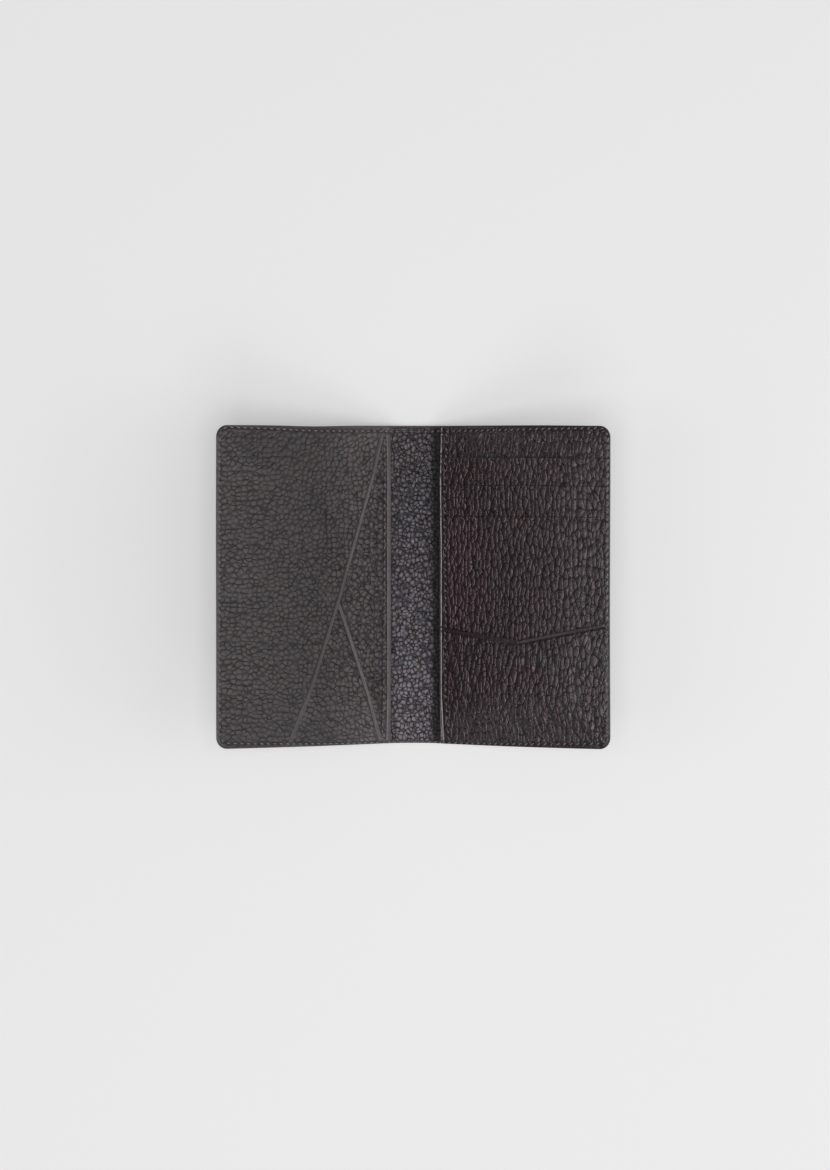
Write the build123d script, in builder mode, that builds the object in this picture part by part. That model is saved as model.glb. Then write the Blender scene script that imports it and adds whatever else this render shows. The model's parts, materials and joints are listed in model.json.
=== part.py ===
from build123d import *
import os
from math import cos, radians, sin

# Passport holder wallet: a bifold of pebbled leather that lies on its spine with both covers raised.
# X runs across the spread, Y along the spine and Z up. The origin is at the bottom centre of the
# whole wallet, on the surface that the spine rests on. Millimetres and degrees.

# Size of the blank and how far it is open
height = 140.0  # along the spine
spine_width = 16.0  # between the two fold lines
cover_width = 90.0  # from a fold line to the fore-edge
corner_radius = 5.0
left_tilt = 31.0  # each cover's rise from the flat
right_tilt = 33.0

# Thickness of each layer
leather = 1.0
stiffener = 0.5
lining = 0.6
sleeve_gap = 0.9  # room for a passport's cover
pocket_leather = 0.6
slot_leather = 0.5
pocket_fabric = 0.3

# Heights of the layers above a cover's outer face
stiffener_level = leather
lining_level = stiffener_level + stiffener
fold_height = lining_level + lining  # the folds turn about the lining's face
panel_level = fold_height + sleeve_gap
pocket_level = panel_level + pocket_leather

# Edges
fold_gap = 0.5  # from a fold line to the stiff layers beside it
turned_hem = 5.0  # width of the leather turned in over the stiffener
stiffener_play = 0.2
panel_edge = 0.4  # the inner panels stop this far short of the outer leather
sleeve_hem = 3.4
hem_gap = 0.3  # between the strips of a sleeve hem, at the corners

# Left cover: two slip pockets with slanted mouths that cross
left_sleeve_start = 3.9  # from the fold line to the sleeve's free edge
upper_pocket_top = 7.0  # where the upper pocket's mouth meets the top edge
upper_pocket_bottom = 55.8
lower_pocket_top = 58.5
lower_pocket_bottom = 8.9

# Right cover: three card slots above a pocket with a shallow V mouth
right_sleeve_start = 5.3
slot_mouths = (55.9, 43.8, 30.3)
slot_overlap = 3.0  # of one slot's strip behind the next one's mouth
slot_depth = 47.0
slot_side = 2.6  # bare margin beside a slot's fabric
v_mouth_inner = -18.2
v_mouth_middle = -24.7
v_mouth_outer = -16.3
v_mouth_centre = 46.3  # from the fold line

# Stitches
stitch_pitch = 3.1
stitch_length = 2.3
thread = 0.7
thread_height = 0.35
seam_margin = 1.9  # from the edge of the leather to the seam
sleeve_seam = 3.0  # from a sleeve's free edge to its seam


def reach(tilt):
    """How far a cover's outer face reaches sideways from the spine's middle."""
    turn = radians(tilt)
    return spine_width / 2 + cover_width * cos(turn) + fold_height * sin(turn)


spine_x = (reach(left_tilt) - reach(right_tilt)) / 2
LEFT, RIGHT = -1, 1
side_names = {LEFT: "left", RIGHT: "right"}
tilts = {LEFT: left_tilt, RIGHT: right_tilt}
sleeve_starts = {LEFT: left_sleeve_start, RIGHT: right_sleeve_start}


def cover_plane(side):
    """Plane of a cover's outer face, with its origin under the fold line and local X across it."""
    turn = radians(tilts[side])
    across = (cos(turn), 0, side * sin(turn))
    normal = (-side * sin(turn), 0, cos(turn))
    fold_line = (spine_x + side * spine_width / 2, 0, fold_height)
    return Plane(origin=fold_line, x_dir=across, z_dir=normal).offset(-fold_height)


def rise(side, out, level):
    """Where a cover's point lands in the upright section: X and Z, from its distance and level."""
    turn = radians(tilts[side])
    above = level - fold_height
    x = spine_x + side * (spine_width / 2 + out * cos(turn) - above * sin(turn))
    return x, fold_height + out * sin(turn) + above * cos(turn)


planes = {side: cover_plane(side) for side in (LEFT, RIGHT)}
spine_plane = Plane(origin=(spine_x, 0, 0))
section_plane = Plane.XZ.offset(-height / 2)
half = height / 2
past = cover_width + 1  # beyond the fore-edge, where the blank's outline trims a panel


def draw_panel(side, corners, edge=panel_edge):
    """Draw a panel from its corners, trimmed to the cover's rounded outline less edge."""
    Polygon(*[(side * out, along) for out, along in corners], align=None)
    RectangleRounded(
        2 * (cover_width - edge), height - 2 * edge, corner_radius - edge, mode=Mode.INTERSECT
    )


def draw_strip(side, near, far, low, high, mode=Mode.ADD):
    """Draw a rectangle from near to far of the fold line and from low to high along the spine."""
    with Locations((side * (near + far) / 2, (low + high) / 2)):
        Rectangle(far - near, high - low, mode=mode)


def draw_stitches(side, row):
    """Draw one stitch at each place of a row: (distance from the fold line, Y, angle)."""
    for out, along, angle in row:
        with Locations(Location((side * out, along), angle)):
            SlotOverall(stitch_length, thread)


def spaced(start, end):
    """Places one stitch pitch apart from start to end, centred between them."""
    count = int((end - start) / stitch_pitch)
    first = (start + end - count * stitch_pitch) / 2
    return [first + number * stitch_pitch for number in range(count + 1)]


def save(part, label):
    """Label a finished piece and write it."""
    part.label = label
    export_step(part, f"parts/{label}.step")


# Spine: outer leather with its ends turned in, a reinforcing strip, and the lining over both
spine_flat = spine_width - 2 * fold_gap

with BuildPart() as spine_leather:
    with BuildSketch(spine_plane):
        Rectangle(spine_flat, height)
    extrude(amount=leather)
    with BuildSketch(spine_plane.offset(stiffener_level)):
        Rectangle(spine_flat, height)
        Rectangle(spine_flat, height - 2 * turned_hem, mode=Mode.SUBTRACT)
    extrude(amount=stiffener)
spine_leather.part.label = "spine_leather"
export_step(spine_leather.part, "parts/spine_leather.step")

with BuildPart() as spine_reinforcement:
    with BuildSketch(spine_plane.offset(stiffener_level)):
        Rectangle(spine_flat, height - 2 * (turned_hem + stiffener_play))
    extrude(amount=stiffener)
spine_reinforcement.part.label = "spine_reinforcement"
export_step(spine_reinforcement.part, "parts/spine_reinforcement.step")

with BuildPart() as spine_lining:
    with BuildSketch(spine_plane.offset(lining_level)):
        Rectangle(spine_flat, height - 2 * panel_edge)
    extrude(amount=lining)
spine_lining.part.label = "spine_lining"
export_step(spine_lining.part, "parts/spine_lining.step")

with BuildPart() as spine_stitches:
    with BuildSketch(spine_plane.offset(fold_height)):
        for along in (half - seam_margin, seam_margin - half):
            draw_stitches(RIGHT, [(x, along, 0) for x in spaced(-spine_flat / 2, spine_flat / 2)])
    extrude(amount=thread_height)
spine_stitches.part.label = "spine_stitches"
export_step(spine_stitches.part, "parts/spine_stitches.step")

# Folds: the leather and the lining run on across each fold line, where they bend
for side, name in side_names.items():
    spine_end = spine_x + side * spine_flat / 2

    with BuildPart() as fold_leather:
        with BuildSketch(section_plane):
            Polygon(
                (spine_end, 0),
                rise(side, fold_gap, 0),
                rise(side, fold_gap, leather),
                (spine_end, leather),
                align=None,
            )
        extrude(amount=height)
    save(fold_leather.part, f"{name}_fold_leather")

    with BuildPart() as fold_lining:
        with BuildSketch(section_plane.offset(panel_edge)):
            Polygon(
                (spine_end, lining_level),
                rise(side, fold_gap, lining_level),
                rise(side, fold_gap, fold_height),
                (spine_end, fold_height),
                align=None,
            )
        extrude(amount=height - 2 * panel_edge)
    save(fold_lining.part, f"{name}_fold_lining")

# Both covers: outer leather with its edges turned in over the stiffener, lining, and the sleeve
for side, name in side_names.items():
    plane = planes[side]
    sleeve_start = sleeve_starts[side]

    with BuildPart() as cover_leather:
        with BuildSketch(plane):
            draw_panel(side, [(fold_gap, -half), (past, -half), (past, half), (fold_gap, half)], 0)
        extrude(amount=leather)
        with BuildSketch(plane.offset(stiffener_level)):
            draw_panel(side, [(fold_gap, -half), (past, -half), (past, half), (fold_gap, half)], 0)
            draw_strip(
                side, 0, cover_width - turned_hem, turned_hem - half, half - turned_hem, Mode.SUBTRACT
            )
        extrude(amount=stiffener)
    save(cover_leather.part, f"{name}_cover_leather")

    with BuildPart() as cover_stiffener:
        inset = turned_hem + stiffener_play
        with BuildSketch(plane.offset(stiffener_level)):
            draw_strip(side, 2 * fold_gap, cover_width - inset, inset - half, half - inset)
        extrude(amount=stiffener)
    save(cover_stiffener.part, f"{name}_stiffener")

    with BuildPart() as cover_lining:
        with BuildSketch(plane.offset(lining_level)):
            draw_panel(side, [(fold_gap, -half), (past, -half), (past, half), (fold_gap, half)])
        extrude(amount=lining)
    save(cover_lining.part, f"{name}_lining")

    with BuildPart() as sleeve_hems:
        corner = cover_width - panel_edge - sleeve_hem
        inner = half - panel_edge - sleeve_hem
        with BuildSketch(plane.offset(fold_height)):
            draw_panel(side, [(corner, -half), (past, -half), (past, half), (corner, half)])
        extrude(amount=sleeve_gap)
        with BuildSketch(plane.offset(fold_height)):
            for low, high in ((-half + panel_edge, -inner), (inner, half - panel_edge)):
                draw_strip(side, sleeve_start, corner - hem_gap, low, high)
        extrude(amount=sleeve_gap)
    save(sleeve_hems.part, f"{name}_sleeve_hem")

    with BuildPart() as sleeve_panel:
        with BuildSketch(plane.offset(panel_level)):
            draw_panel(
                side, [(sleeve_start, -half), (past, -half), (past, half), (sleeve_start, half)]
            )
        extrude(amount=pocket_leather)
    save(sleeve_panel.part, f"{name}_sleeve_panel")

# Left cover's slip pockets: the lower one is sewn on first, and the upper one crosses over it
lower_pocket_level = pocket_level
upper_pocket_level = lower_pocket_level + pocket_leather

with BuildPart() as left_lower_pocket:
    with BuildSketch(planes[LEFT].offset(lower_pocket_level)):
        draw_panel(
            LEFT, [(lower_pocket_bottom, -half), (past, -half), (past, half), (lower_pocket_top, half)]
        )
    extrude(amount=pocket_leather)
left_lower_pocket.part.label = "left_lower_pocket"
export_step(left_lower_pocket.part, "parts/left_lower_pocket.step")

with BuildPart() as left_upper_pocket:
    with BuildSketch(planes[LEFT].offset(upper_pocket_level)):
        draw_panel(
            LEFT, [(upper_pocket_bottom, -half), (past, -half), (past, half), (upper_pocket_top, half)]
        )
    extrude(amount=pocket_leather)
left_upper_pocket.part.label = "left_upper_pocket"
export_step(left_upper_pocket.part, "parts/left_upper_pocket.step")

# Right cover's card slots: each strip stands on the one above it, with a fabric lining below it
slot_levels = [pocket_level + number * slot_leather for number in range(len(slot_mouths))]
strip_ends = [mouth - slot_overlap for mouth in slot_mouths[1:]] + [-half]

for number, (mouth, end, level) in enumerate(zip(slot_mouths, strip_ends, slot_levels), start=1):
    with BuildPart() as card_slot:
        with BuildSketch(planes[RIGHT].offset(level)):
            draw_panel(
                RIGHT,
                [(right_sleeve_start, end), (past, end), (past, mouth), (right_sleeve_start, mouth)],
            )
        extrude(amount=slot_leather)
    save(card_slot.part, f"card_slot_{number}")

for number, (mouth, end, level) in enumerate(zip(slot_mouths[:-1], strip_ends, slot_levels), start=1):
    with BuildPart() as slot_lining:
        with BuildSketch(planes[RIGHT].offset(level)):
            near, far = right_sleeve_start + slot_side, cover_width - panel_edge - slot_side
            draw_strip(RIGHT, near, far, mouth - slot_depth, end)
        extrude(amount=pocket_fabric)
    save(slot_lining.part, f"card_slot_{number}_lining")

v_pocket_level = slot_levels[-1] + slot_leather

with BuildPart() as right_lower_pocket:
    with BuildSketch(planes[RIGHT].offset(v_pocket_level)):
        draw_panel(
            RIGHT,
            [
                (right_sleeve_start, -half),
                (past, -half),
                (past, v_mouth_outer),
                (v_mouth_centre, v_mouth_middle),
                (right_sleeve_start, v_mouth_inner),
            ],
        )
    extrude(amount=pocket_leather)
right_lower_pocket.part.label = "right_lower_pocket"
export_step(right_lower_pocket.part, "parts/right_lower_pocket.step")


def left_surface(out, along):
    """Level of the left cover's top layer at a place."""
    share = (along + half) / height
    if out > upper_pocket_bottom + share * (upper_pocket_top - upper_pocket_bottom):
        return upper_pocket_level + pocket_leather
    if out > lower_pocket_bottom + share * (lower_pocket_top - lower_pocket_bottom):
        return upper_pocket_level
    return pocket_level


def right_surface(out, along):
    """Level of the right cover's top layer at a place."""
    end, end_y = (right_sleeve_start, v_mouth_inner) if out < v_mouth_centre else (past, v_mouth_outer)
    share = (out - v_mouth_centre) / (end - v_mouth_centre)
    if along < v_mouth_middle + share * (end_y - v_mouth_middle):
        return v_pocket_level + pocket_leather
    return pocket_level + slot_leather * sum(along < mouth for mouth in slot_mouths)


# Stitches on the inner face: one seam round each cover's three edges, and one along each sleeve's
surfaces = {LEFT: left_surface, RIGHT: right_surface}


def seat(side, out, along, angle):
    """Level that a stitch lies on: the highest layer under its middle and its two ends."""
    turn = radians(angle)
    return max(
        surfaces[side](out + shift * cos(turn), along + shift * sin(turn))
        for shift in (-stitch_length / 2, 0, stitch_length / 2)
    )


for side, name in side_names.items():
    seam_y = half - seam_margin
    sleeve = sleeve_starts[side] + sleeve_seam
    ends = spaced(sleeve + stitch_pitch, cover_width - corner_radius)
    edges = [(out, along, 0) for out in ends for along in (-seam_y, seam_y)]
    sides_y = seam_y - corner_radius + seam_margin
    edges += [(cover_width - seam_margin, along, 90) for along in spaced(-sides_y, sides_y)]
    column = [(sleeve, along, 90) for along in spaced(-seam_y, seam_y)]
    for row, label in ((edges, "edge"), (column, "sleeve")):
        with BuildPart() as stitches:
            for level in sorted({seat(side, *place) for place in row}):
                with BuildSketch(planes[side].offset(level)):
                    draw_stitches(side, [place for place in row if seat(side, *place) == level])
                extrude(amount=thread_height)
        save(stitches.part, f"{name}_{label}_stitches")
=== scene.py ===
"""Passport holder wallet: every sheet of leather is drawn flat and bent over one shared section."""

import json
import math

import bmesh
import bpy
import numpy as np
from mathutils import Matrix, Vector


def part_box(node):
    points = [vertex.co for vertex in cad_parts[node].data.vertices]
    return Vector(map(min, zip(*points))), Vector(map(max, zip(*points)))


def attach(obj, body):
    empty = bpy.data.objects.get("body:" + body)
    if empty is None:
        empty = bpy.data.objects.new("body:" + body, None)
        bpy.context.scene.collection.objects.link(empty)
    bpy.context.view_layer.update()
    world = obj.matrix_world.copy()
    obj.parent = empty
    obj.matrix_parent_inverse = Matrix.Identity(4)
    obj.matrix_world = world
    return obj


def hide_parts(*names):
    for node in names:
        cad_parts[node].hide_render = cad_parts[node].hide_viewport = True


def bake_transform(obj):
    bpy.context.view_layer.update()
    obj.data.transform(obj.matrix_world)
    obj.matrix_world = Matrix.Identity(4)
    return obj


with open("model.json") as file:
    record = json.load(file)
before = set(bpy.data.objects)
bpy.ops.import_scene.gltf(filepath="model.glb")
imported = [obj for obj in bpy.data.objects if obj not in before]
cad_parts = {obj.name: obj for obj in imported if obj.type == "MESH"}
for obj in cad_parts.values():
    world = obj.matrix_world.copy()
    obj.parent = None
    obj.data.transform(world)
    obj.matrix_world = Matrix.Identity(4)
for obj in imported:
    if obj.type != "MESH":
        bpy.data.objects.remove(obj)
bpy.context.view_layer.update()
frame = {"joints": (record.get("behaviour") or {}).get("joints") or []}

# ---------------------------------------------------------------- sizes, in millimetres and degrees
MM = 0.001
LEFT, RIGHT = -1, 1
SIDES = {LEFT: "left", RIGHT: "right"}
folds = {side: next(j for j in frame["joints"] if j["name"] == f"{name}_cover_fold")
         for side, name in SIDES.items()}
fold_x = {side: folds[side]["pos_m"][0] / MM for side in SIDES}
tilt = {side: -folds[side]["range_deg"][0] for side in SIDES}
fold_height = folds[RIGHT]["pos_m"][2] / MM
spine_x = (fold_x[LEFT] + fold_x[RIGHT]) / 2
fold_out = (fold_x[RIGHT] - fold_x[LEFT]) / 2  # a fold line's distance from the spine's middle
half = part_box("spine_leather")[1][1] / MM
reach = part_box("right_cover_leather")[1][0] / MM - fold_x[RIGHT]
turn_right = math.radians(tilt[RIGHT])
cover_width = (reach - fold_height * math.sin(turn_right)) / math.cos(turn_right)
fore_edge = fold_out + cover_width  # its distance from the spine's middle, along the leather
corner_radius = 5.0

# The section: flat in the middle of the spine, then one soft bend on each side. Beyond it a cover is
# bowed, steeper near the spine and flatter at its fore-edge.
bend_start, bend_end = 0.5, 15.5
blend_start, blend_end = 5.5, 13.0  # where the leather would turn when a cover moves; only read for points that go unused
crook = {LEFT: 0.0, RIGHT: 12.0}  # extra steepness where the sleeve starts
crook_at, crook_width = 9.5, 4.5
sway_height = 0.25

# Levels above the outer face
board_level = 1.0
hem_top = 1.5  # the outer leather with its edges turned in
sleeve_level = 3.0
panel, thin, play = 0.6, 0.45, 0.02
turned_hem = 5.0
panel_inset = 0.25
pinched = {"spine": 0.9, "cover": 0.42}  # what is left of each level at a sewn edge
pinch_width = 24.0

# Left cover, distances from the spine's middle along the leather
left_sleeve = fold_out + 3.95
upper_mouth = (fold_out + 55.7, fold_out + 6.0)  # at the bottom edge and at the top edge
lower_mouth = (fold_out + 7.6, fold_out + 64.0)
mouth_sag = 0.9

# Right cover
right_sleeve = fold_out + 5.75
sleeve_bevel = 0.93  # each higher layer starts this much further out per millimetre of level
slot_mouths = (55.9, 43.8, 30.3)
gapes = (0.8, 0.15, 0.05)  # how far each slot's mouth stands open
slot_overlap = 3.0
slot_depth = 47.0
v_centre = fold_out + 48.9
v_mouth = (-18.2, -23.5, -15.2)  # Y at the sleeve's edge, at the middle and at the fore-edge

# Seams
pitch = 3.1
stitch_length = 1.7
thread_radius = 0.27
top_margins = (2.6, 0.85)  # from the edge to the seam, at the spine and at the fore-edge
bottom_margins = (0.55, 2.6)
fore_margin = 1.05
seam_corner = 4.0
sleeve_seams = {LEFT: (left_sleeve + 4.3, left_sleeve + 3.3), RIGHT: (right_sleeve + 4.8, right_sleeve + 2.8)}
slant = {LEFT: 12.0, RIGHT: 34.0}

# Grid spacing of the leather
fine, coarse = 0.55, 4.0
edge_lines = np.array([0, 0.03, 0.1, 0.22, 0.36, 0.55, 0.8, 1.05, 1.3, 1.5, 1.62, 1.72, 1.82, 1.95, 2.15,
                       2.45, 2.8, 3.2, 3.7, 4.2])
keep = 5.0  # grid lines this near an edge stay parallel to it


# ---------------------------------------------------------------- the shared bent section
def smooth(value, low, high):
    """0 up to low, 1 from high on, and a smooth step between them."""
    share = np.clip((value - low) / (high - low), 0, 1)
    return share * share * (3 - 2 * share)


def section(side, mean, bow):
    """The fold-level line across one half: distance along it, then x, z and slope there."""
    step = 0.1
    along = np.arange(0, fore_edge + 3, step)
    share = np.clip((along - fold_out) / cover_width, 0, 1)
    slope = (mean + bow * np.cos(np.pi * share)) * smooth(along, bend_start, bend_end)
    near = np.exp(-(((along - crook_at) / crook_width) ** 2)) * smooth(along, 0, 6)
    slope = np.radians(slope + crook[side] * near)
    middle = (slope[1:] + slope[:-1]) / 2
    x = np.concatenate([[0], np.cumsum(np.cos(middle) * step)])
    z = np.concatenate([[0], np.cumsum(np.sin(middle) * step)]) + fold_height
    return along, x, z, slope


def fitted_section(side):
    """The section whose fore-edge comes out where the flat cover of the solid model has it."""
    turn = math.radians(tilt[side])
    goal = np.array([fold_out + cover_width * math.cos(turn), fold_height + cover_width * math.sin(turn)])

    def miss(shape):
        along, x, z, _ = section(side, *shape)
        return np.array([np.interp(fore_edge, along, x), np.interp(fore_edge, along, z)]) - goal

    shape = np.array([tilt[side], 8.0])
    for _ in range(8):
        change = [(miss(shape + nudge) - miss(shape)) / 0.1 for nudge in ((0.1, 0), (0, 0.1))]
        shape = shape - np.linalg.solve(np.stack(change, -1), miss(shape))
    return section(side, *shape)


sections = {side: fitted_section(side) for side in SIDES}


def sway(side, out, y):
    """A slight unevenness that every layer of a cover shares."""
    share = np.clip((out - fold_out) / cover_width, 0, 1) ** 1.5
    return sway_height * share * (np.sin(y / 31 + 1.2 * side) + 0.6 * np.sin(y / 17 + out / 40))


def dip(side, out, y):
    """How far the worn top edge has come down."""
    amount = 0.4 * np.exp(-(((out - 51) / 15) ** 2)) if side == LEFT else 0.35 * smooth(out, 62, 98)
    return amount * smooth(y, 20, half)


def place(side, out, y, level):
    """Points in metres, from the distance out from the spine's middle, Y and the level."""
    along, x, z, slope = sections[side]
    lean = np.interp(out, along, slope)
    above = level + sway(side, out, y) - fold_height
    return np.stack([
        spine_x + side * (np.interp(out, along, x) - above * np.sin(lean)),
        y - dip(side, out, y),
        np.interp(out, along, z) + above * np.cos(lean),
    ], axis=-1) * MM


# ---------------------------------------------------------------- outlines and layers
def inside(out, y, inset=0.0):
    """Distance inward from the cover's outline with its two round corners."""
    radius = corner_radius - inset
    across = out - (fore_edge - inset - radius)
    along = np.abs(y) - (half - inset - radius)
    beyond = np.hypot(np.maximum(across, 0), np.maximum(along, 0))
    return radius - beyond - np.minimum(np.maximum(across, along), 0)


def far_edge(y, inset=0.0):
    """How far out the outline lies at a given Y."""
    radius = corner_radius - inset
    over = np.clip(np.abs(y) - (half - inset - radius), 0, radius)
    return fore_edge - inset - radius + np.sqrt(radius**2 - over**2)


def pinch(out, y):
    """Share of each level that is left: the layers are pressed together towards a sewn edge."""
    least = pinched["spine"] + (pinched["cover"] - pinched["spine"]) * smooth(out, 9, 26)
    return least + (1 - least) * smooth(inside(out, y), -2, pinch_width)


def slanted(mouth):
    """A mouth from the bottom edge to the top edge: its place at Y, and how far inside."""
    def near(y):
        return mouth[0] + (mouth[1] - mouth[0]) * (y + half) / (2 * half) - mouth_sag * (1 - (y / half) ** 2)
    steep = math.cos(math.atan2(mouth[1] - mouth[0], 2 * half))
    return near, lambda out, y: (out - near(y)) * steep


def v_top(out):
    """Y of the lower right pocket's V mouth."""
    return np.interp(out, (right_sleeve, v_centre, fore_edge), v_mouth)


upper_near, upper_inside = slanted(upper_mouth)
lower_near, lower_inside = slanted(lower_mouth)
sleeve_top = sleeve_level + panel


def lower_top(out, y):
    return sleeve_top + play + panel + 0 * out


def upper_bottom(out, y):
    """The upper pocket lies on the lower one and settles onto the sleeve beyond its mouth."""
    return sleeve_top + play + (panel + play) * smooth(lower_inside(out, y), -11, -0.5)


def slot_bottom(number):
    """Underside of card slot strip 1, 2 or 3: it steps over the strip above, then settles."""
    def bottom(out, y):
        level = sleeve_top + play + 0 * y
        for above in range(1, number):
            end = slot_mouths[above] - slot_overlap
            level = level + (thin + play) * (0.5 + 0.5 * smooth(y, end - 9, end - 0.5))
        open_part = smooth(out, 26, 38) * (1 - smooth(out, 74, 86))
        from_mouth = np.abs(slot_mouths[number - 1] - y)
        return level + gapes[number - 1] * open_part * np.exp(-from_mouth / 2.5)
    return bottom


def v_bottom(out, y):
    return slot_bottom(3)(out, y) + thin + play


def right_near(level):
    """Where a layer of the right stack starts: its bevelled edge keeps one line seen from above."""
    return right_sleeve + sleeve_bevel * (level - sleeve_top)


def surface(side, out, y):
    """Level of the top layer at a place."""
    out, y = np.asarray(out, float), np.asarray(y, float)
    if side == LEFT:
        level = np.where(out > left_sleeve, sleeve_top, fold_height)
        level = np.where(lower_inside(out, y) > 0, lower_top(out, y), level)
        return np.where(upper_inside(out, y) > 0, upper_bottom(out, y) + panel, level)
    level = np.where(out > right_sleeve, sleeve_top, fold_height)
    for number, mouth in enumerate(slot_mouths, start=1):
        here = (out > right_sleeve) & (y < mouth)
        level = np.where(here, slot_bottom(number)(out, y) + thin, level)
    return np.where((out > right_sleeve) & (y < v_top(out)), v_bottom(out, y) + panel, level)


# ---------------------------------------------------------------- seams
def margin_at(margins, out):
    return margins[0] + (margins[1] - margins[0]) * (out / (fore_edge - fore_margin)) ** 1.7


def resample(points, step, first=0.5):
    """Centres and directions of stitches, one step apart along a dense line."""
    lengths = np.concatenate([[0], np.cumsum(np.hypot(*np.diff(points, axis=0).T))])
    places = np.arange(first * step, lengths[-1], step)
    ahead = [np.interp(places + shift, lengths, points[:, axis]) for shift in (-0.5, 0.5)
             for axis in (0, 1)]
    centre = np.stack([np.interp(places, lengths, points[:, axis]) for axis in (0, 1)], axis=-1)
    heading = np.arctan2(ahead[3] - ahead[1], ahead[2] - ahead[0])
    return centre, heading


def edge_seam(side):
    """The seam round a cover, from the spine's top end to its bottom end."""
    last = fore_edge - fore_margin
    run = np.linspace(0, last - seam_corner, 300)
    top, bottom = half - margin_at(top_margins, run), margin_at(bottom_margins, run) - half
    swing = np.linspace(0, np.pi / 2, 24)[:, None]
    upper = np.hstack([run[-1] + seam_corner * np.sin(swing), top[-1] - seam_corner * (1 - np.cos(swing))])
    lower = np.hstack([run[-1] + seam_corner * np.cos(swing), bottom[-1] + seam_corner * (1 - np.sin(swing))])
    return np.vstack([np.stack([run, top], -1), upper, lower, np.stack([run, bottom], -1)[::-1]])


def sleeve_seam(side):
    """The seam along a sleeve's free edge."""
    start = half - margin_at(top_margins, left_sleeve)
    end = margin_at(bottom_margins, left_sleeve) - half
    y = np.linspace(start, end, 200)
    bottom, top = sleeve_seams[side]
    return np.stack([bottom + (top - bottom) * (y + half) / (2 * half), y], -1)


seams = {side: {"edge": edge_seam(side), "sleeve": sleeve_seam(side)} for side in SIDES}
stitches = {side: {name: resample(line, pitch) for name, line in seams[side].items()} for side in SIDES}


def nearest(points, out, y, only):
    """Distance from each place to the nearest of the points, where only is true."""
    found = np.full(out.shape, 9.0)
    places = np.stack([out[only], y[only]], -1)
    best = np.full(len(places), 9.0)
    for start in range(0, len(points), 100):
        gap = places[:, None, :] - points[None, start:start + 100, :]
        best = np.minimum(best, np.sqrt((gap**2).sum(-1)).min(1))
    found[only] = best
    return found


def stitch_ends(side, name):
    centre, heading = stitches[side][name]
    lean = heading + math.radians(slant[side])
    arm = np.stack([np.cos(lean), np.sin(lean)], -1) * stitch_length / 2
    return np.vstack([centre - arm, centre + arm])


def seam_marks(side, out, y, names=("edge", "sleeve")):
    """Depth of the seams' groove and of the needle holes at each place."""
    groove, hole = np.zeros(out.shape), np.zeros(out.shape)
    for name in names:
        near = inside(out, y) < 5 if name == "edge" else np.abs(out - sleeve_seams[side][0]) < 3
        gap = nearest(seams[side][name][::3], out, y, near)
        groove = np.maximum(groove, np.exp(-(gap / 0.55) ** 2))
        gap = nearest(stitch_ends(side, name), out, y, near)
        hole = np.maximum(hole, np.exp(-(gap / 0.46) ** 2))
    return groove, hole


# ---------------------------------------------------------------- mesh building
def lines(low, high, low_edge=True, high_edge=True, dense=None, step=fine):
    """Grid lines from low to high: close together at an edge, even where dense, wide elsewhere."""
    starts = low + (edge_lines if low_edge else edge_lines[:1])
    ends = high - (edge_lines if high_edge else edge_lines[:1])[::-1]
    dense = dense or (low, high)
    stops = sorted({starts[-1], ends[0], *(min(max(stop, starts[-1]), ends[0]) for stop in dense)})
    parts = [starts]
    for a, b in zip(stops[:-1], stops[1:]):
        spacing = step if dense[0] <= (a + b) / 2 <= dense[1] else coarse
        parts.append(np.linspace(a, b, max(2, math.ceil((b - a) / spacing) + 1))[1:-1])
        parts.append([b])
    parts = parts[:-1] + [ends]
    return np.concatenate(parts)


def fit(marks, start, end):
    """Grid lines slid to run from start to end, with their spacing kept near both."""
    share = np.clip((marks - marks[0] - keep) / max(marks[-1] - marks[0] - 2 * keep, 1e-6), 0, 1)
    return marks + (1 - share) * (start[:, None] - marks[0]) + share * (end[:, None] - marks[-1])


def grid(columns, rows, near, far, low, high):
    """Places of a panel's grid, rows first, between its four edges, each a function."""
    y = fit(rows, low(columns) + 0 * columns, high(columns) + 0 * columns).T
    out = fit(columns, near(y[:, 0]) + 0 * y[:, 0], far(y[:, -1]) + 0 * y[:, -1])
    return out, y


def round_over(depth, radius):
    """How much lower a rounded edge is at this depth inside it."""
    gap = np.clip(radius - depth, 0, radius)
    return radius - np.sqrt(np.maximum(radius**2 - gap**2, 0))


def link(obj, body=None, material=None):
    bpy.context.scene.collection.objects.link(obj)
    if material:
        obj.data.materials.append(material)
    if body:
        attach(obj, body)
    return obj


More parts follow.
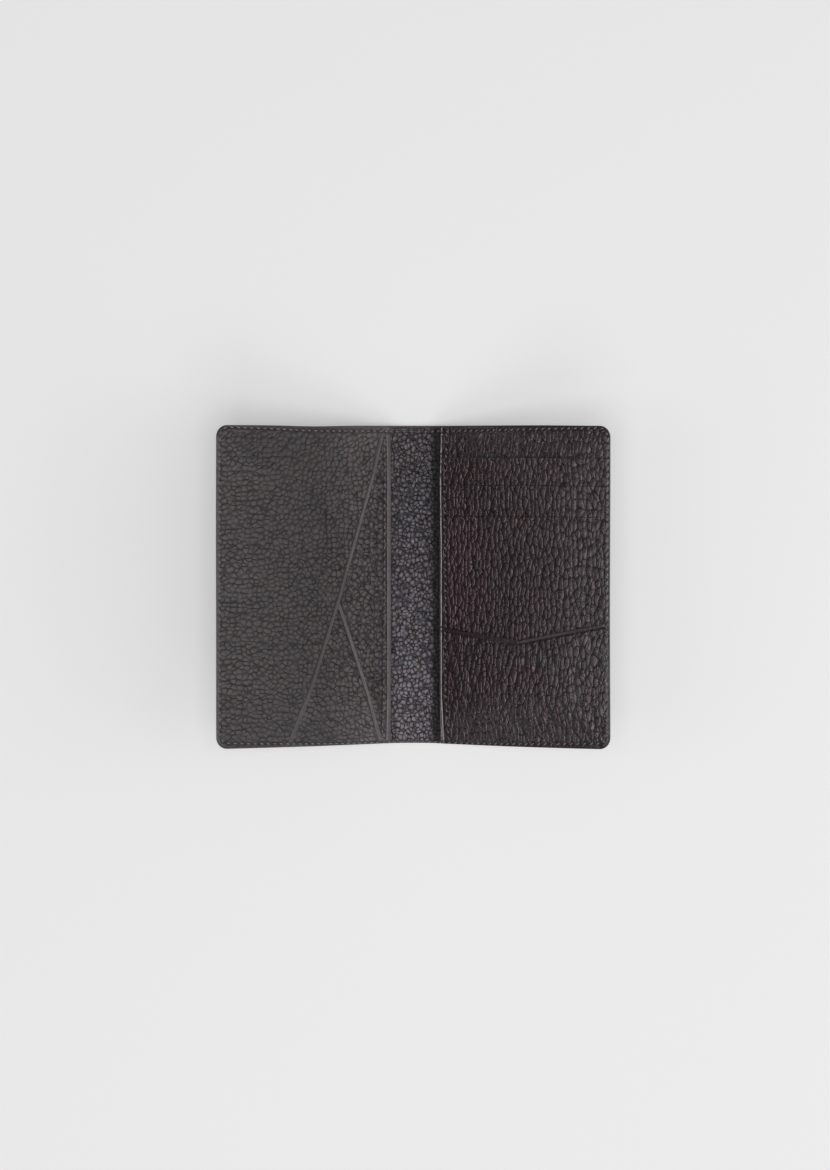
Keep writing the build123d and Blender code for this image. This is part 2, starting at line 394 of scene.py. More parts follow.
def shell(name, side, out, y, top, bottom, values, seed=0.0, joined=False):
    """A sheet between two surfaces over one grid. Each value is a pair: top and bottom.
    A joined sheet has no wall where it meets the other half, at the middle of the spine.
    """
    count = out.size
    points = np.concatenate([place(side, out, y, level).reshape(-1, 3) for level in (top, bottom)])
    index = np.arange(count).reshape(out.shape)
    a, b, c, d = (part.ravel() for part in (index[:-1, :-1], index[:-1, 1:], index[1:, 1:], index[1:, :-1]))
    rim = np.concatenate([index[0, :-1], index[:-1, -1], index[-1, :0:-1], index[:0:-1, 0]])
    after = np.roll(rim, -1)
    if joined:
        rim, after = (ring[:1 - len(index)] for ring in (rim, after))
    faces = np.concatenate([
        np.stack([a, b, c, d], -1),
        np.stack([a, d, c, b], -1) + count,
        np.stack([rim, rim + count, after + count, after], -1),
    ])
    if side == LEFT:
        faces = faces[:, ::-1]
    mesh = bpy.data.meshes.new(name)
    mesh.from_pydata(points.tolist(), [], faces.tolist())
    mesh.shade_smooth()
    flat = np.stack([side * out.ravel() * MM, y.ravel() * MM, np.full(count, seed)], -1)
    attribute = mesh.attributes.new("flat", "FLOAT_VECTOR", "POINT")
    attribute.data.foreach_set("vector", np.tile(flat, (2, 1)).astype(np.float32).ravel())
    for key, faces_values in values.items():
        data = np.concatenate([np.broadcast_to(value, out.shape).ravel() for value in faces_values])
        mesh.attributes.new(key, "FLOAT", "POINT").data.foreach_set("value", data.astype(np.float32))
    return bpy.data.objects.new(name, mesh)


# ---------------------------------------------------------------- node graphs
class Graph:
    """Short ways to add nodes to a shader tree or a geometry tree."""

    def __init__(self, tree):
        self.tree = tree
        tree.nodes.clear()

    def add(self, kind, inputs=None, **settings):
        node = self.tree.nodes.new(kind)
        for name, value in settings.items():
            setattr(node, name, value)
        for name, value in (inputs or {}).items():
            self.feed(node.inputs[name], value)
        return node

    def feed(self, socket, value):
        if isinstance(value, bpy.types.NodeSocket):
            self.tree.links.new(value, socket)
        else:
            socket.default_value = value

    def math(self, operation, *values):
        node = self.add("ShaderNodeMath", operation=operation)
        for socket, value in zip(node.inputs, values):
            self.feed(socket, value)
        return node.outputs[0]

    def vector(self, operation, *values):
        node = self.add("ShaderNodeVectorMath", operation=operation)
        for socket, value in zip(node.inputs, values):
            self.feed(socket, value)
        return node.outputs[0]

    def ramp(self, value, low, high, to_low=0.0, to_high=1.0):
        """Smooth step of value from low to high, onto the second range."""
        node = self.add("ShaderNodeMapRange", {
            "Value": value, "From Min": low, "From Max": high, "To Min": to_low, "To Max": to_high,
        }, interpolation_type="SMOOTHSTEP")
        return node.outputs["Result"]

    def noise(self, vector, scale, detail=2.0, output="Fac"):
        node = self.add("ShaderNodeTexNoise", {"Vector": vector, "Scale": scale, "Detail": detail})
        return node.outputs[output]

    def cells(self, vector, feature, output="Distance", randomness=1.0):
        node = self.add("ShaderNodeTexVoronoi", {"Vector": vector, "Scale": 1.0, "Randomness": randomness},
                        feature=feature)
        return node.outputs[output]


def pebbles(graph, flat, grain):
    """Height from 0 in the creases to 1 on the pebbles, how open the crease is, a random colour, and
    the outward flank of each pebble.
    """
    across, along, waver = grain
    scaled = graph.vector("MULTIPLY", flat, (1 / (across * MM), 1 / (along * MM), 1.0))
    for scale, amount in ((0.35, 1.6 * waver), (1.9, 0.2 * waver)):
        shift = graph.vector("SUBTRACT", graph.noise(scaled, scale, 1.0, "Color"), (0.5, 0.5, 0.5))
        scaled = graph.vector("ADD", scaled, graph.vector("MULTIPLY", shift, (amount, amount, 0.0)))
    distance = graph.cells(scaled, "F1", randomness=0.86)
    edge = graph.cells(scaled, "DISTANCE_TO_EDGE", randomness=0.86)
    dome = graph.ramp(graph.math("MULTIPLY", distance, distance), 0.62, -0.12)
    crease = graph.ramp(edge, 0.0, 0.14)
    strength = graph.ramp(graph.noise(scaled, 0.8, 2.0), 0.3, 0.62, 0.25, 1.0)
    open_crease = graph.math("MULTIPLY", graph.math("SUBTRACT", 1.0, crease), strength)
    finer = graph.vector("MULTIPLY", scaled, (2.6, 2.6, 1.0))
    small = graph.ramp(graph.cells(finer, "DISTANCE_TO_EDGE"), 0.0, 0.22)
    height = graph.math("MULTIPLY_ADD", dome, 0.55, graph.math("MULTIPLY", small, 0.1))
    height = graph.math("ADD", height, graph.math("MULTIPLY_ADD", open_crease, -0.35, 0.35))
    number = graph.cells(scaled, "F1", "Color", randomness=0.86)
    centre = graph.cells(scaled, "F1", "Position", randomness=0.86)
    from_centre = graph.vector("SUBTRACT", scaled, centre)
    offset = graph.add("ShaderNodeSeparateXYZ", {"Vector": from_centre}).outputs[0]
    band = graph.math("MULTIPLY", graph.ramp(edge, 0.03, 0.07), graph.ramp(edge, 0.19, 0.1))
    flank = graph.math("MULTIPLY", graph.math("MULTIPLY", band, graph.ramp(offset, 0.02, 0.25)), strength)
    return height, open_crease, number, flank


GRAINS = {  # pebble size across and along, and how much the pattern wavers
    "round": (2.35, 2.1, 0.6),
    "fine": (1.75, 1.95, 0.8),
    "long": (2.0, 4.2, 0.8),
}
# Height of the grain in millimetres: in the mesh, and in the materials' bump
RELIEF = {"round": 0.07, "fine": 0.09, "long": 0.08}
BUMPS = {"round": 0.42, "fine": 0.70, "long": 0.56}
# How much darker the creases are coloured: painted shade
CREASE_SHADE = {"round": 0.8, "fine": 0.8, "long": 0.5}
# Tone of the base colour in the low places and on top of the pebbles: painted shade below, painted highlights
# on top
PAINTED_HEIGHT_SHADING = {"round": (0.66, 1.27), "fine": (0.58, 1.95), "long": (0.75, 1.1)}
# Thin pale lines on the outward flanks of the pebbles: a stand-in for sharp glints the lights don't give
FLANK_SHINE = {"round": 0.0, "fine": 0.6, "long": 7.5}


def grain_group(style):
    """Geometry nodes that press the creases between the pebbles into a sheet."""
    tree = bpy.data.node_groups.new(f"grain_{style}", "GeometryNodeTree")
    for way in ("INPUT", "OUTPUT"):
        tree.interface.new_socket("Geometry", in_out=way, socket_type="NodeSocketGeometry")
    graph = Graph(tree)
    flat = graph.add("GeometryNodeInputNamedAttribute", {"Name": "flat"}, data_type="FLOAT_VECTOR")
    mask = graph.add("GeometryNodeInputNamedAttribute", {"Name": "grain"}, data_type="FLOAT")
    height, _, _, _ = pebbles(graph, flat.outputs["Attribute"], GRAINS[style])
    depth = graph.math("MULTIPLY", graph.math("SUBTRACT", height, 1.0), RELIEF[style] * MM)
    depth = graph.math("MULTIPLY", depth, mask.outputs["Attribute"])
    normal = graph.add("GeometryNodeInputNormal").outputs["Normal"]
    offset = graph.add("ShaderNodeVectorMath", {"Vector": normal, "Scale": depth}, operation="SCALE")
    source = graph.add("NodeGroupInput")
    move = graph.add("GeometryNodeSetPosition", {"Geometry": source.outputs[0], "Offset": offset.outputs[0]})
    sink = graph.add("NodeGroupOutput")
    tree.links.new(move.outputs[0], sink.inputs[0])
    return tree


grain_groups = {style: grain_group(style) for style in GRAINS}


def press_grain(obj, style):
    """Apply the grain to a linked object's mesh."""
    modifier = obj.modifiers.new("grain", "NODES")
    modifier.node_group = grain_groups[style]
    graph = bpy.context.evaluated_depsgraph_get()
    source = obj.evaluated_get(graph)
    mesh = bpy.data.meshes.new_from_object(source, preserve_all_data_layers=True, depsgraph=graph)
    obj.modifiers.clear()
    old, obj.data = obj.data, mesh
    mesh.name = old.name
    bpy.data.meshes.remove(old)


def new_material(name):
    material = bpy.data.materials.new(name)
    material.use_nodes = True
    graph = Graph(material.node_tree)
    shader = graph.add("ShaderNodeBsdfPrincipled")
    output = graph.add("ShaderNodeOutputMaterial", {"Surface": shader.outputs[0]})
    output.location = (400, 0)
    return material, graph, shader


def mix(graph, factor, a, b, blend="MIX"):
    node = graph.add("ShaderNodeMix", data_type="RGBA", blend_type=blend)
    for socket, value in zip((node.inputs[0], node.inputs[6], node.inputs[7]), (factor, a, b)):
        graph.feed(socket, value)
    return node.outputs[2]


def leather(name, style, base, rough):
    """Pebbled leather: painted shade in the creases and painted highlights on the pebble tops, uneven dye,
    painted glints on the flanks, smoother and paler rims, and painted shade where the dark value is set.
    """
    material, graph, shader = new_material(name)
    flat = graph.add("ShaderNodeAttribute", attribute_name="flat").outputs["Vector"]
    mask, rim, dark = (graph.add("ShaderNodeAttribute", attribute_name=key).outputs["Fac"]
                       for key in ("grain", "rim", "dark"))
    height, crease, number, flank = pebbles(graph, flat, GRAINS[style])
    crease = graph.math("MULTIPLY", crease, mask)
    wide = graph.noise(flat, 55.0, 3.0)
    dusty = graph.noise(flat, 900.0, 3.0)
    split = graph.add("ShaderNodeSeparateColor", {"Color": number})
    dye_and_painted_light = graph.math("MULTIPLY_ADD", split.outputs[0], 0.22, 0.89)
    dye_and_painted_light = graph.math("MULTIPLY", dye_and_painted_light, graph.math("MULTIPLY_ADD", wide, 0.5, 0.75))
    dye_and_painted_light = graph.math("MULTIPLY", dye_and_painted_light, graph.math("MULTIPLY_ADD", dusty, 0.3, 0.85))
    # Painted shade in the creases
    dye_and_painted_light = graph.math("MULTIPLY", dye_and_painted_light, graph.math("MULTIPLY_ADD", crease, -CREASE_SHADE[style], 1.0))
    # Painted shade in the low places and painted highlights on the pebble tops
    low_tone, high_tone = PAINTED_HEIGHT_SHADING[style]
    tone = graph.ramp(height, 0.35, 1.0, low_tone - 1, high_tone - 1)
    dye_and_painted_light = graph.math("MULTIPLY", dye_and_painted_light, graph.math("MULTIPLY_ADD", tone, mask, 1.0))
    # Painted glints: thin pale lines on the outward flanks of the pebbles
    painted_glint = graph.math("MULTIPLY", graph.math("MULTIPLY", flank, mask), FLANK_SHINE[style])
    dye_and_painted_light = graph.math("MULTIPLY", dye_and_painted_light, graph.math("ADD", painted_glint, 1.0))
    # Paler rims: edge wear, painted highlights on polished edges and a painted sheen beside the spine
    dye_and_painted_light = graph.math("MULTIPLY", dye_and_painted_light, graph.math("MULTIPLY_ADD", rim, 1.1, 1.0))
    grey = graph.add("ShaderNodeCombineXYZ", {0: dye_and_painted_light, 1: dye_and_painted_light, 2: dye_and_painted_light}).outputs[0]
    warm = tuple(value * tint for value, tint in zip(base, (1.04, 0.99, 0.97))) + (1,)
    cool = tuple(value * tint for value, tint in zip(base, (0.96, 0.98, 1.05))) + (1,)
    colour = mix(graph, graph.ramp(graph.noise(flat, 130.0, 2.0), 0.38, 0.62), warm, cool)
    colour = mix(graph, 1.0, colour, grey, "MULTIPLY")
    # Near black where the dark value is set: painted shade in holes, grooves, the fold and slot mouths
    colour = mix(graph, graph.math("MULTIPLY", dark, 0.92), colour, (0.004, 0.003, 0.003, 1))
    graph.feed(shader.inputs["Base Color"], colour)
    roughness = graph.math("MULTIPLY_ADD", dusty, 0.16, rough - 0.08)
    roughness = graph.math("MULTIPLY_ADD", rim, -0.1, roughness)
    roughness = graph.math("MULTIPLY_ADD", mask, 0.08, roughness)
    roughness = graph.math("MULTIPLY_ADD", dark, 0.3, roughness)
    graph.feed(shader.inputs["Roughness"], roughness)
    shader.inputs["IOR"].default_value = 1.6
    depth = graph.math("MULTIPLY", graph.math("MULTIPLY", height, mask), BUMPS[style] * MM)
    pores = graph.math("MULTIPLY", graph.noise(flat, 2600.0, 2.0), 0.018 * MM)
    bump = graph.add("ShaderNodeBump", {"Height": graph.math("ADD", depth, pores), "Distance": 1.0,
                                        "Strength": 1.0})
    graph.feed(shader.inputs["Normal"], bump.outputs[0])
    return material


def thread_material():
    """Waxed thread: fine twisted plies along each stitch. It is coloured paler than the dark thread, in
    patches paler still: painted highlights.
    """
    material, graph, shader = new_material("waxed_thread")
    flat = graph.add("ShaderNodeAttribute", attribute_name="flat").outputs["Vector"]
    ply = graph.add("ShaderNodeTexWave", {"Vector": flat, "Scale": 900.0, "Distortion": 1.0},
                    bands_direction="DIAGONAL").outputs["Fac"]
    shade = graph.noise(flat, 400.0, 2.0)
    # Painted highlights: the dark thread coloured pale, paler in patches
    colour = mix(graph, shade, (0.14, 0.12, 0.12, 1), (0.42, 0.38, 0.38, 1))
    graph.feed(shader.inputs["Base Color"], colour)
    graph.feed(shader.inputs["Roughness"], graph.math("MULTIPLY_ADD", ply, 0.12, 0.22))
    bump = graph.add("ShaderNodeBump", {"Height": graph.math("MULTIPLY", ply, 0.05 * MM), "Distance": 1.0,
                                        "Strength": 0.7})
    graph.feed(shader.inputs["Normal"], bump.outputs[0])
    return material


def woven_material(name, base, scale, rough):
    """A plain weave, for the pocket lining."""
    material, graph, shader = new_material(name)
    flat = graph.add("ShaderNodeAttribute", attribute_name="flat").outputs["Vector"]
    waves = [graph.add("ShaderNodeTexWave", {"Vector": flat, "Scale": scale, "Distortion": 0.4},
                       bands_direction=way).outputs["Fac"] for way in ("X", "Y")]
    weave = graph.math("MULTIPLY", *waves)
    colour = mix(graph, weave, tuple(0.5 * v for v in base) + (1,), tuple(base) + (1,))
    graph.feed(shader.inputs["Base Color"], colour)
    graph.feed(shader.inputs["Roughness"], graph.math("MULTIPLY_ADD", weave, -0.1, rough))
    bump = graph.add("ShaderNodeBump", {"Height": graph.math("MULTIPLY", weave, 0.06 * MM), "Distance": 1.0})
    graph.feed(shader.inputs["Normal"], bump.outputs[0])
    return material


def board_material():
    """Bonded fibre board: flecks of pressed fibre."""
    material, graph, shader = new_material("fibre_board")
    flat = graph.add("ShaderNodeAttribute", attribute_name="flat").outputs["Vector"]
    stretched = graph.vector("MULTIPLY", flat, (1.0, 3.0, 1.0))
    fleck = graph.noise(stretched, 700.0, 4.0)
    colour = mix(graph, graph.ramp(fleck, 0.35, 0.7), (0.10, 0.065, 0.04, 1), (0.24, 0.17, 0.11, 1))
    graph.feed(shader.inputs["Base Color"], colour)
    graph.feed(shader.inputs["Roughness"], graph.math("MULTIPLY_ADD", fleck, 0.2, 0.75))
    bump = graph.add("ShaderNodeBump", {"Height": graph.math("MULTIPLY", fleck, 0.05 * MM), "Distance": 1.0})
    graph.feed(shader.inputs["Normal"], bump.outputs[0])
    return material


# One leather throughout: the left's and the spine's base colours are paler than the right's, painted light
LEATHER_PAINTED_LIGHT_BASE = (0.064, 0.0525, 0.0545)
SPINE_PAINTED_LIGHT_BASE = (0.096, 0.085, 0.094)
SLOT_BASE = (0.035, 0.0200, 0.0242)
materials = {
    "left": leather("pebbled_leather", "round", LEATHER_PAINTED_LIGHT_BASE, 0.32),
    "spine": leather("spine_leather_grain", "fine", SPINE_PAINTED_LIGHT_BASE, 0.20),
    "right": leather("long_grain_leather", "long", SLOT_BASE, 0.20),
    "thread": thread_material(),
    "fabric": woven_material("pocket_lining", (0.02, 0.018, 0.02), 700.0, 0.85),
    "board": board_material(),
}


# ---------------------------------------------------------------- leather pieces
def painted_sheen(side, out, y):
    """How much paler and smoother the leather is made beside the spine and at the spine's lower end.
    The paleness is a painted sheen: the light alone leaves these places duller than they should look.
    """
    at_spine = 0.75 * (1 - smooth(out, 7, 12)) * smooth(-y, -45, 45)
    if side == LEFT:
        return np.maximum(at_spine, 0.8 * smooth(out, 11, 14) * (1 - smooth(out, 22, 52)))
    beside_sleeve = 0.4 * smooth(out, 15, 18) * (1 - smooth(out, 24, 50))
    return np.maximum(at_spine, beside_sleeve * np.exp(-(((y - 6) / 30) ** 2)))


def shade(side, out):
    """How much darker the lining is coloured in the fold beside the right sleeve, on top of its shadow."""
    return 0.9 * smooth(out, 6, 9.5) if side == RIGHT else 0 * out


def mouth_shadow(side, out, y):
    """A painted shadow: a dark line coloured along each card slot's mouth, where the leather beneath lies in
    shade.
    """
    line = 0 * out
    if side == RIGHT:
        for mouth, strength in zip(slot_mouths, (0.95, 0.5, 0.4)):
            ends = smooth(out, 20, 32) * (1 - smooth(out, 72, 92))
            line = np.maximum(line, strength * ends * np.exp(-(((y - mouth - 0.15) / 0.38) ** 2)))
    return line


def sheet_piece(name, side, columns, rows, edges, bottom, thick, style, hems=(), replaces=(), seed=0.0,
                radius=0.3, seam_names=("edge", "sleeve"), body=None, joined=False):
    """One layer of leather: its grid, its edges rounded, its seams and creases pressed in.
    Each hem is a free edge: a function for the distance from it, where its crease lies, its lift, and
    whether the part outside the crease is polished, its colour made paler as a painted highlight.
    """
    near, far, low, high = edges
    out, y = grid(columns, rows, near, far, low, high)
    outer = inside(out, y, panel_inset)
    level, press = bottom(out, y), pinch(out, y)
    rim = outer
    groove, hole = seam_marks(side, out, y, seam_names)
    mask = smooth(outer, 0.25, 1.2)
    sink = 0.12 * groove + 0.3 * hole
    polish_and_highlight = np.zeros(out.shape)
    for distance, crease, lip, polished_and_highlit in hems:
        gap = distance(out, y)
        rim = np.minimum(rim, gap)
        if polished_and_highlit:
            polish_and_highlight = 1 - smooth(gap, 0.8 * crease, crease)
        if crease:
            mask = mask * (0.12 + 0.88 * smooth(gap, crease, crease + 0.7))
            sink = sink + 0.15 * np.exp(-(((gap - crease) / 0.16) ** 2))
            sink = sink - lip * np.clip(1 - gap / crease, 0, 1)
    rim = np.maximum(rim, 0)
    mask = mask * (1 - 0.75 * groove)
    low_side = level * press + round_over(rim, 0.12)
    top = np.maximum((level + thick) * press - sink - round_over(rim, radius), low_side + 0.03)
    # Paler and smoother rims: wear along every edge, a painted highlight on polished edges and a painted
    # sheen beside the spine
    wear_and_sheen = np.maximum(np.maximum(0.4 * np.exp(-((rim / 0.3) ** 2)), polish_and_highlight), painted_sheen(side, out, y))
    # Painted shade: in needle holes and seam grooves, in the fold beside the right sleeve and along the slot
    # mouths
    darker = shade(side, out) if joined else mouth_shadow(side, out, y)
    dark = np.maximum(np.maximum(hole, 0.75 * groove), darker)
    values = {"grain": (mask, 0.0), "rim": (wear_and_sheen, wear_and_sheen), "dark": (dark, 0.0)}
    obj = shell(name, side, out, y, top, low_side, values, seed, joined)
    link(obj, None, materials[style])
    press_grain(obj, {"left": "round", "spine": "fine", "right": "long"}[style])
    if body:
        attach(obj, body)
    if replaces:
        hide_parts(*replaces)
    return obj


def constant(value):
    return lambda coordinate: value + 0 * coordinate


def flat_level(value):
    return lambda out, y: value + 0 * out


def panel_edges(near, inset=panel_inset, low=None, high=None):
    """The four edges of a panel that runs to the fore-edge."""
    reach_out = lambda y: far_edge(y, inset)
    return near, reach_out, low or constant(inset - half), high or constant(half - inset)


COLUMN_END = fore_edge - panel_inset
ROW_ENDS = (panel_inset - half, half - panel_inset)

# Left cover, from the bottom layer up
sheet_piece(
    "left_sleeve_panel_leather", LEFT, lines(left_sleeve, COLUMN_END, dense=(left_sleeve, 52)),
    lines(*ROW_ENDS), panel_edges(constant(left_sleeve)), flat_level(sleeve_level), panel, "left",
    hems=[(lambda out, y: out - left_sleeve, 1.95, 0.4, False)], replaces=("left_sleeve_panel",), seed=0.11,
    body="left_cover",
)
lower_middle, upper_middle = sum(lower_mouth) / 2, sum(upper_mouth) / 2
sheet_piece(
    "left_lower_pocket_leather", LEFT,
    lines(lower_middle, COLUMN_END, dense=(lower_middle, lower_middle + 42)),
    lines(*ROW_ENDS, dense=(-half, 4)), panel_edges(lower_near), lambda out, y: lower_top(out, y) - panel, panel, "left",
    hems=[(lower_inside, 1.7, 0.18, False)], replaces=("left_lower_pocket",), seed=0.23, body="left_cover",
)
sheet_piece(
    "left_upper_pocket_leather", LEFT, lines(upper_middle, COLUMN_END), lines(*ROW_ENDS),
    panel_edges(upper_near), upper_bottom, panel, "left", hems=[(upper_inside, 1.7, 0.18, False)],
    replaces=("left_upper_pocket",), seed=0.37, body="left_cover",
)

# Right cover: the sleeve's panel, three card slot strips and the lower pocket
strip_ends = [mouth - slot_overlap for mouth in slot_mouths[1:]] + [ROW_ENDS[0]]


def right_layer(name, mouth, end, bottom, top_level, thick, dense, seed, mouth_hem):
    """One layer of the right stack, from its lower end to its mouth, along the bevelled sleeve edge."""
    near = right_near(top_level)
    straight = np.isscalar(mouth)
    highest = mouth if straight else min(v_mouth)
    # Each layer's free edge along the sleeve is polished and painted paler: a painted highlight
    sheet_piece(
        f"{name}_leather", RIGHT, lines(near, COLUMN_END),
        lines(end, highest, low_edge=end == ROW_ENDS[0], dense=dense),
        panel_edges(constant(near), low=constant(end), high=constant(mouth) if straight else mouth),
        bottom, thick, "right", hems=[(lambda out, y: out - near, 0.7, 0.55, True), mouth_hem],
        replaces=(name,), seed=seed, body="right_cover",
    )


def below(mouth):
    """A straight mouth's hem: pressed flat, without a crease."""
    return (lambda out, y: mouth - y), 0.0, 0.0, False


right_layer("right_sleeve_panel", ROW_ENDS[1], ROW_ENDS[0], flat_level(sleeve_level), sleeve_top, panel,
            (53, half), 0.5, below(half))
for number in (1, 2, 3):
    right_layer(f"card_slot_{number}", slot_mouths[number - 1], strip_ends[number - 1], slot_bottom(number),
                sleeve_top + number * thin, thin, (-30, half), 0.5,
                below(slot_mouths[number - 1]))
right_layer("right_lower_pocket", v_top, ROW_ENDS[0], v_bottom, sleeve_top + 3 * thin + panel, panel,
            (-half, 0), 0.93, (lambda out, y: (v_top(out) - y) * 0.985, 1.7, 0.1, False))


# Outer leather and lining: one sheet each, split at the middle of the spine
def across_fold(obj, side, level):
    """Bake a sheet's or a seam's placement into its mesh; where it would bend between the spine and a cover
    is worked out but not used.
    """
    start, end = (place(side, np.array(out), np.array(0.0), level) for out in (blend_start, blend_end))
    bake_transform(obj)


def lining_half(side):
    name = SIDES[side]
    nodes = [f"{name}_lining", f"{name}_fold_lining"] + (["spine_lining"] if side == RIGHT else [])
    obj = sheet_piece(
        f"{name}_half_lining", side, lines(0, COLUMN_END, low_edge=False, dense=(0, 15), step=0.45),
        lines(*ROW_ENDS, step=0.45), panel_edges(constant(0.0)), flat_level(hem_top), fold_height - hem_top,
        "spine", replaces=nodes, seam_names=("edge",), seed=0.05, joined=True,
    )
    across_fold(obj, side, fold_height)


def outer_half(side):
    """The outer leather: its pebbled face is its underside, and its edges are turned in."""
    name = SIDES[side]
    columns, rows = lines(0, fore_edge, low_edge=False, step=0.62), lines(-half, half, step=0.62)
    out, y = grid(columns, rows, constant(0.0), far_edge, constant(-half), constant(half))
    edge = np.maximum(inside(out, y), 0)
    groove, hole = seam_marks(side, out, y, ("edge",))
    turned = 0.3
    top = np.where(edge < turned_hem, hem_top, board_level) * pinch(out, y) - round_over(edge, turned)
    bottom = np.minimum(round_over(edge, turned) + 0.3 * groove + 0.2 * hole, top - 0.04)
    mask = smooth(edge, 0.5, 1.8) * (1 - 0.75 * groove)
    wear_and_sheen = np.exp(-(((edge - 0.25) / 0.5) ** 2))
    # Painted shade in the needle holes of the outer face
    obj = shell(f"{name}_half_outer_leather", side, out, y, top, bottom,
                {"grain": (0.0, mask), "rim": (0 * wear_and_sheen, wear_and_sheen), "dark": (0.0, hole)}, 0.71, joined=True)
    link(obj, None, materials["left"])
    press_grain(obj, "round")
    nodes = [f"{name}_cover_leather", f"{name}_fold_leather"] + (["spine_leather"] if side == RIGHT else [])
    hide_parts(*nodes)
    across_fold(obj, side, fold_height)


for side in SIDES:
    lining_half(side)
    outer_half(side)


# ---------------------------------------------------------------- hidden pieces
def hidden_piece(name, side, near, far, low, high, bottom, thick, material, body, node):
    """A plain layer inside the wallet, bent with the rest."""
    columns, rows = np.linspace(near, far, max(4, int((far - near) / 2.5))), np.linspace(low, high, 30)
    y, out = np.meshgrid(rows, columns, indexing="ij")
    level, press = bottom(out, y), pinch(out, y)
    obj = shell(name, side, out, y, (level + thick) * press, level * press, {"rim": (0.0, 0.0)})
    link(obj, body, materials[material])
    if node:
        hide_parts(node)
    return obj


def join(name, objects):
    """One object from several that share a body."""
    with bpy.context.temp_override(active_object=objects[0], selected_editable_objects=objects):
        bpy.ops.object.join()
    objects[0].name = objects[0].data.name = name
    return objects[0]


board_in = turned_hem + 0.2
board_thickness = hem_top - board_level - 2 * play
hem_width, hem_gap = 3.2, 0.3
hem_thickness = sleeve_level - fold_height - 2 * play
for side, name in SIDES.items():
    cover = f"{name}_cover"
    hidden_piece(f"{name}_board", side, 13.5, fore_edge - board_in, board_in - half, half - board_in,
                 flat_level(board_level + play), board_thickness, "board", cover,
                 f"{name}_stiffener")
    start = left_sleeve + 0.8 if side == LEFT else right_sleeve + 0.8
    corner = fore_edge - hem_width - 0.6
    strips = []
    for number, (near, far, low, high) in enumerate((
        (start, corner - hem_gap, half - hem_width, half - 0.6),
        (start, corner - hem_gap, 0.6 - half, hem_width - half),
        (corner, fore_edge - 0.6, 4.6 - half, half - 4.6),
    )):
        strips.append(hidden_piece(f"{name}_hem_{number}", side, near, far, low, high,
                                   flat_level(fold_height + play), hem_thickness, "left",
                                   None, None))
    hem = join(f"{name}_sleeve_hem_leather", strips)
    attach(hem, cover)
    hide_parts(f"{name}_sleeve_hem")

halves = [hidden_piece(f"spine_strip_{side}", side, 0, 6.5, board_in - half, half - board_in,
                       flat_level(board_level + play), board_thickness, "board", None,
                       None) for side in SIDES]
strip = join("spine_strip", halves)
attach(strip, "spine")
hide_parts("spine_reinforcement")

fabric_thickness = 0.22
for number in (1, 2):
    mouth, end = slot_mouths[number - 1], strip_ends[number - 1]
    hidden_piece(f"card_slot_{number}_fabric", RIGHT, right_sleeve + 2.6, fore_edge - 3, mouth - slot_depth,
                 end - 0.4, slot_bottom(number), fabric_thickness, "fabric", "right_cover",
                 f"card_slot_{number}_lining")


# ---------------------------------------------------------------- stitches
def stitch_mesh(name, side, centres, headings, face):
    """Tubes of thread, each rising from one needle hole and going down into the next."""
    around, along = 8, 9
    sweep = np.linspace(0, 2 * np.pi, around, endpoint=False)
    travel = np.linspace(-1, 1, along)
    swell = np.sqrt(np.clip(1 - np.abs(travel) ** 5, 0.05, 1))
    rise = 0.2 - 0.42 * travel**2
    points, faces, flats = [], [], []
    for (out, y), heading in zip(centres, headings + math.radians(slant[side])):
        base = len(points)
        ring_out = out + travel * math.cos(heading) * stitch_length / 2
        ring_y = y + travel * math.sin(heading) * stitch_length / 2
        bed, way = (surface(side, out, y) * pinch(out, y) - 0.1, 1) if face == "inner" else (0.42, -1)
        for k in range(along):
            for angle in sweep:
                shift = math.cos(angle) * thread_radius * swell[k]
                lift = math.sin(angle) * thread_radius * 0.8 * swell[k]
                points.append((ring_out[k] - shift * math.sin(heading), ring_y[k] + shift * math.cos(heading),
                               bed + way * (rise[k] + lift)))
                flats.append((travel[k] * 0.0012, angle * 0.0003, out * MM))
        for k in range(along - 1):
            for m in range(around):
                n = (m + 1) % around
                faces.append((base + k * around + m, base + (k + 1) * around + m, base + (k + 1) * around + n,
                              base + k * around + n))
        faces.append(tuple(base + m for m in range(around)))
        faces.append(tuple(base + (along - 1) * around + m for m in reversed(range(around))))
    points = np.array(points)
    mesh = bpy.data.meshes.new(name)
    mesh.from_pydata(place(side, points[:, 0], points[:, 1], points[:, 2]).tolist(), [], faces)
    mesh.shade_smooth()
    attribute = mesh.attributes.new("flat", "FLOAT_VECTOR", "POINT")
    attribute.data.foreach_set("vector", np.array(flats, np.float32).ravel())
    obj = bpy.data.objects.new(name, mesh)
    fix_normals(mesh)
    return link(obj, None, materials["thread"])


def fix_normals(mesh):
    """Point every face of the closed tubes outward."""
    work = bmesh.new()
    work.from_mesh(mesh)
    bmesh.ops.recalc_face_normals(work, faces=work.faces)
    work.to_mesh(mesh)
    work.free()


for side, name in SIDES.items():
    centres, headings = stitches[side]["edge"]
    crossing = centres[:, 0] < bend_end
    fold_seams = []
    for face in ("inner", "outer"):
        part = stitch_mesh(f"{name}_fold_thread_{face}", side, centres[crossing], headings[crossing], face)
        fold_seams.append(part)
    seam = join(f"{name}_fold_stitches", fold_seams)
    if side == RIGHT:
        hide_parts("spine_stitches")
    across_fold(seam, side, fold_height)
    parts = [stitch_mesh(f"{name}_edge_thread_{face}", side, centres[~crossing], headings[~crossing], face)
             for face in ("inner", "outer")]
    seam = join(f"{name}_edge_seam", parts)
    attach(seam, f"{name}_cover")
    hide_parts(f"{name}_edge_stitches")
    centres, headings = stitches[side]["sleeve"]
    seam = stitch_mesh(f"{name}_sleeve_seam", side, centres, headings, "inner")
    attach(seam, f"{name}_cover")
    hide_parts(f"{name}_sleeve_stitches")


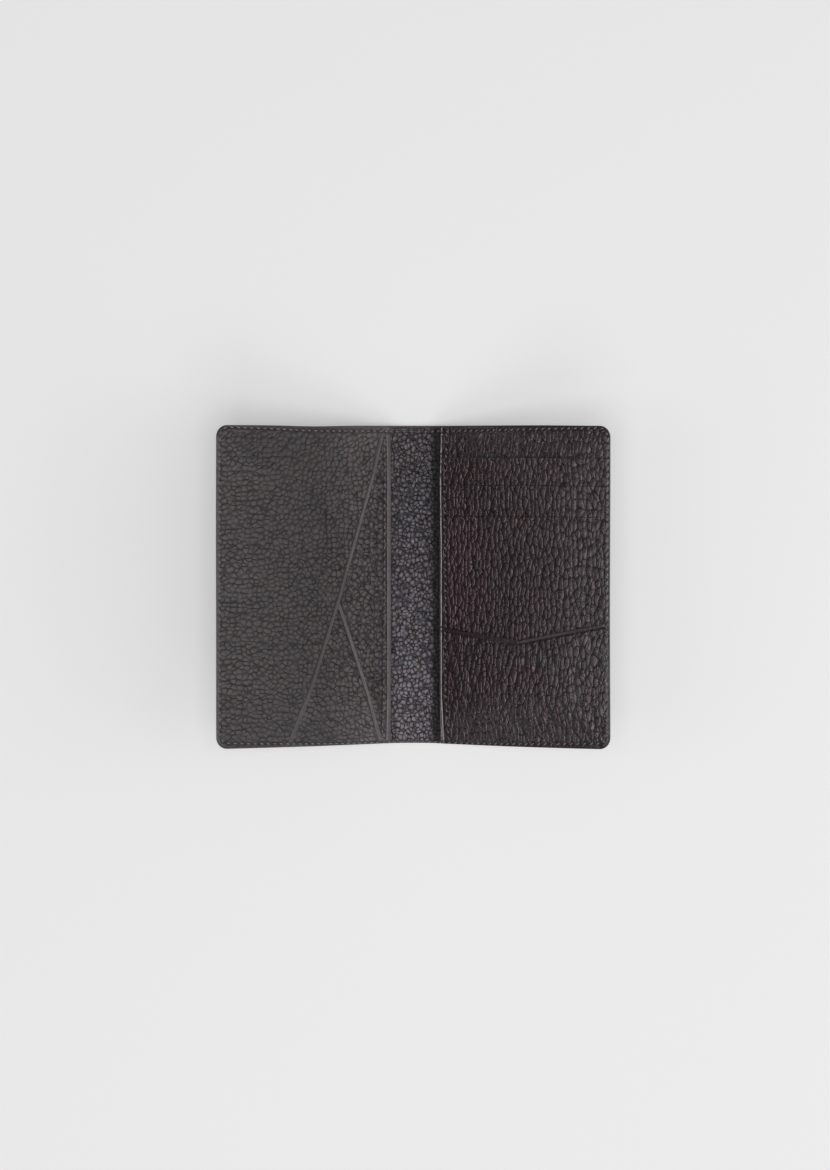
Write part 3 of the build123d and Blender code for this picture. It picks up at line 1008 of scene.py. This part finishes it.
# ---------------------------------------------------------------- stage, light and camera
def floor():
    size = 4.0
    mesh = bpy.data.meshes.new("floor")
    corners = [(x * size, y * size, 0) for x, y in ((-1, -1), (1, -1), (1, 1), (-1, 1))]
    mesh.from_pydata(corners, [], [(0, 1, 2, 3)])
    material, graph, shader = new_material("floor_paper")
    shader.inputs["Base Color"].default_value = (0.82, 0.82, 0.82, 1)
    shader.inputs["Roughness"].default_value = 0.9
    shader.inputs["Specular IOR Level"].default_value = 0.1
    shader.inputs["Emission Color"].default_value = (1, 1, 1, 1)
    shader.inputs["Emission Strength"].default_value = 0.32  # keeps the shadows on the paper pale
    obj = bpy.data.objects.new("floor", mesh)
    link(obj, material=material)


def softbox(name, place_at, aim, size, power):
    light = bpy.data.lights.new(name, "AREA")
    light.shape = "RECTANGLE"
    light.size, light.size_y = size
    light.energy = power
    obj = bpy.data.objects.new(name, light)
    obj.location = place_at
    obj.rotation_euler = (Vector(aim) - Vector(place_at)).to_track_quat("-Z", "Y").to_euler()
    bpy.context.scene.collection.objects.link(obj)


floor()
softbox("overhead", (0, -0.2, 2.4), (0, 0, 0), (1.0, 1.0), 14.5)
softbox("front", (0.3, -1.5, 1.9), (0, 0, 0), (1.5, 1.2), 7.2)
softbox("right", (1.6, -0.3, 1.7), (0, 0, 0), (1.2, 1.5), 5.2)
softbox("low_right", (1.7, -0.2, 0.65), (0, -0.2, 0.65), (2.4, 1.3), 7.6)
softbox("left", (-1.6, -0.3, 1.7), (0, 0, 0), (1.2, 1.5), 3.7)

world = bpy.data.worlds.new("studio")
bpy.context.scene.world = world
world.use_nodes = True
background = world.node_tree.nodes["Background"]
background.inputs["Color"].default_value = (1, 1, 1, 1)
background.inputs["Strength"].default_value = 0.119

camera_data = bpy.data.cameras.new("camera")
camera = bpy.data.objects.new("camera", camera_data)
bpy.context.scene.collection.objects.link(camera)
camera_data.sensor_width = 36
camera_data.lens = 146.4
camera_data.clip_end = 20
camera.location = (spine_x * MM, 0.054, 2.1)
aim_y = -0.0002
camera.rotation_euler = (-math.atan2(camera.location.y - aim_y, camera.location.z - fold_height * MM), 0, 0)
bpy.context.scene.camera = camera
bpy.context.scene.view_settings.view_transform = "Standard"
